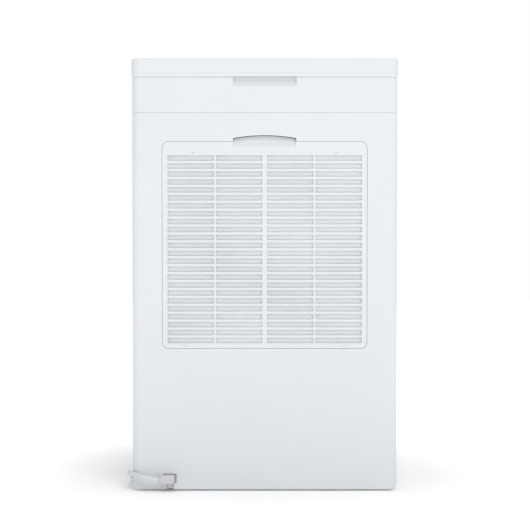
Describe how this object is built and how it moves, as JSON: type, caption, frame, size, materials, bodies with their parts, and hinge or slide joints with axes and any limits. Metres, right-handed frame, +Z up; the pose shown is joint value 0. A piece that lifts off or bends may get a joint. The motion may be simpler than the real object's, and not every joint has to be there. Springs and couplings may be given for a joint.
{
  "type": "dehumidifier",
  "caption": "Tall white room dehumidifier on casters with a slotted intake cover, a pull-out water bucket, a top control panel and a mains cord.",
  "frame": {"origin": "middle of the floor area under the cabinet", "axes": "+Z up, +Y from the intake side to the bucket side, +X to the right when looking along +Y"},
  "size_m": [0.3888, 0.4295, 0.616],
  "materials": {
    "shell_white": "fine matte, cool white",
    "inner_white": "matte",
    "bucket_grey": "satin, slightly see-through in life",
    "net_grey": "fine woven net",
    "frame_grey": "satin",
    "window_clear": "clear",
    "display_black": "polished",
    "panel_grey": "printed film",
    "button_white": "satin",
    "board_green": "lacquered",
    "fin_aluminium": "bright foil",
    "copper": "drawn tube, dull",
    "compressor_black": "satin black",
    "rubber_black": "matte",
    "steel": "zinc plated",
    "motor_steel": "galvanised",
    "fan_grey": "matte",
    "caster_grey": "matte",
    "wheel_black": "matte",
    "cord_white": "soft satin vinyl",
    "boot_grey": "soft satin vinyl",
    "blade_brass": "bright",
    "cap_white": "satin"
  },
  "bodies": {
    "cabinet": {"base_pan": "inner_white", "rear_housing": "shell_white", "front_housing": "shell_white", "top_collar": "shell_white", "top_lid": "shell_white", "control_panel": "panel_grey", "display_window": "display_black", "control_board": "board_green", "outlet_louvre": "shell_white", "bucket_bay": "inner_white", "drip_tray": "inner_white", "evaporator_fins": "fin_aluminium", "evaporator_tubes": "copper", "condenser_fins": "fin_aluminium", "condenser_tubes": "copper", "compressor": "compressor_black", "accumulator": "compressor_black", "compressor_grommets": "rubber_black", "compressor_bolts": "steel", "copper_pipes": "copper", "filter_drier": "copper", "drain_hose": "rubber_black", "fan_scroll": "inner_white", "outlet_duct": "inner_white", "fan_motor": "motor_steel", "run_capacitor": "cap_white", "humidity_sensor": "cap_white", "bucket_switch": "fan_grey", "drain_spout": "fan_grey", "base_screws": "steel", "cord_gland": "boot_grey", "power_cord": "cord_white", "cord_coil": "cord_white", "cord_tie": "rubber_black", "plug": "cord_white", "plug_blades": "blade_brass"},
    "intake_cover": {"filter_cover": "shell_white", "filter_frame": "frame_grey", "filter_net": "net_grey"},
    "bucket": {"bucket_tub": "bucket_grey", "bucket_front": "shell_white", "bucket_window": "window_clear", "bucket_lid": "bucket_grey"},
    "bucket_handle": {"bucket_handle": "bucket_grey"},
    "bucket_float": {"bucket_float": "bucket_grey"},
    "blower": {"blower_wheel": "fan_grey"},
    "power_button": {"power_button": "button_white"},
    "mode_button": {"mode_button": "button_white"},
    "speed_button": {"speed_button": "button_white"},
    "timer_button": {"timer_button": "button_white"},
    "humidity_button": {"humidity_button": "button_white"},
    "caster_rear_left": {"caster_fork_rear_left": "caster_grey"},
    "wheel_rear_left": {"caster_wheel_rear_left": "wheel_black"},
    "caster_rear_right": {"caster_fork_rear_right": "caster_grey"},
    "wheel_rear_right": {"caster_wheel_rear_right": "wheel_black"},
    "caster_front_left": {"caster_fork_front_left": "caster_grey"},
    "wheel_front_left": {"caster_wheel_front_left": "wheel_black"},
    "caster_front_right": {"caster_fork_front_right": "caster_grey"},
    "wheel_front_right": {"caster_wheel_front_right": "wheel_black"}
  },
  "joints": [
    {"name": "intake_cover_hinge", "type": "hinge", "parent": "cabinet", "child": "intake_cover", "pos_m": [0, -0.1386, 0.205], "axis": [1, 0, 0], "range_deg": [0, 30]},
    {"name": "bucket_slide", "type": "slide", "parent": "cabinet", "child": "bucket", "axis": [0, 1, 0], "range_m": [0, 0.17]},
    {"name": "bucket_handle_hinge", "type": "hinge", "parent": "bucket", "child": "bucket_handle", "pos_m": [0, 0.06, 0.19], "axis": [1, 0, 0], "range_deg": [0, 90]},
    {"name": "bucket_float_hinge", "type": "hinge", "parent": "bucket", "child": "bucket_float", "pos_m": [-0.146, 0.02, 0.178], "axis": [0, -1, 0], "range_deg": [0, 12]},
    {"name": "blower_spin", "type": "hinge", "parent": "cabinet", "child": "blower", "pos_m": [0, 0, 0.372], "axis": [0, 1, 0], "continuous": true},
    {"name": "power_button_press", "type": "slide", "parent": "cabinet", "child": "power_button", "axis": [0, 0, -1], "range_m": [0, 0.0008], "stiffness_N_per_m": 400},
    {"name": "mode_button_press", "type": "slide", "parent": "cabinet", "child": "mode_button", "axis": [0, 0, -1], "range_m": [0, 0.0008], "stiffness_N_per_m": 400},
    {"name": "speed_button_press", "type": "slide", "parent": "cabinet", "child": "speed_button", "axis": [0, 0, -1], "range_m": [0, 0.0008], "stiffness_N_per_m": 400},
    {"name": "timer_button_press", "type": "slide", "parent": "cabinet", "child": "timer_button", "axis": [0, 0, -1], "range_m": [0, 0.0008], "stiffness_N_per_m": 400},
    {"name": "humidity_button_press", "type": "slide", "parent": "cabinet", "child": "humidity_button", "axis": [0, 0, -1], "range_m": [0, 0.0008], "stiffness_N_per_m": 400},
    {"name": "caster_swivel_rear_left", "type": "hinge", "parent": "cabinet", "child": "caster_rear_left", "pos_m": [-0.15, -0.101, 0.035], "axis": [0, 0, 1], "continuous": true},
    {"name": "caster_roll_rear_left", "type": "hinge", "parent": "caster_rear_left", "child": "wheel_rear_left", "pos_m": [-0.15, -0.093, 0.015], "axis": [1, 0, 0], "continuous": true},
    {"name": "caster_swivel_rear_right", "type": "hinge", "parent": "cabinet", "child": "caster_rear_right", "pos_m": [0.15, -0.101, 0.035], "axis": [0, 0, 1], "continuous": true},
    {"name": "caster_roll_rear_right", "type": "hinge", "parent": "caster_rear_right", "child": "wheel_rear_right", "pos_m": [0.15, -0.109, 0.015], "axis": [1, 0, 0], "continuous": true},
    {"name": "caster_swivel_front_left", "type": "hinge", "parent": "cabinet", "child": "caster_front_left", "pos_m": [-0.15, 0.101, 0.035], "axis": [0, 0, 1], "continuous": true},
    {"name": "caster_roll_front_left", "type": "hinge", "parent": "caster_front_left", "child": "wheel_front_left", "pos_m": [-0.15, 0.109, 0.015], "axis": [1, 0, 0], "continuous": true},
    {"name": "caster_swivel_front_right", "type": "hinge", "parent": "cabinet", "child": "caster_front_right", "pos_m": [0.15, 0.101, 0.035], "axis": [0, 0, 1], "continuous": true},
    {"name": "caster_roll_front_right", "type": "hinge", "parent": "caster_front_right", "child": "wheel_front_right", "pos_m": [0.15, 0.093, 0.015], "axis": [1, 0, 0], "continuous": true}
  ]
}
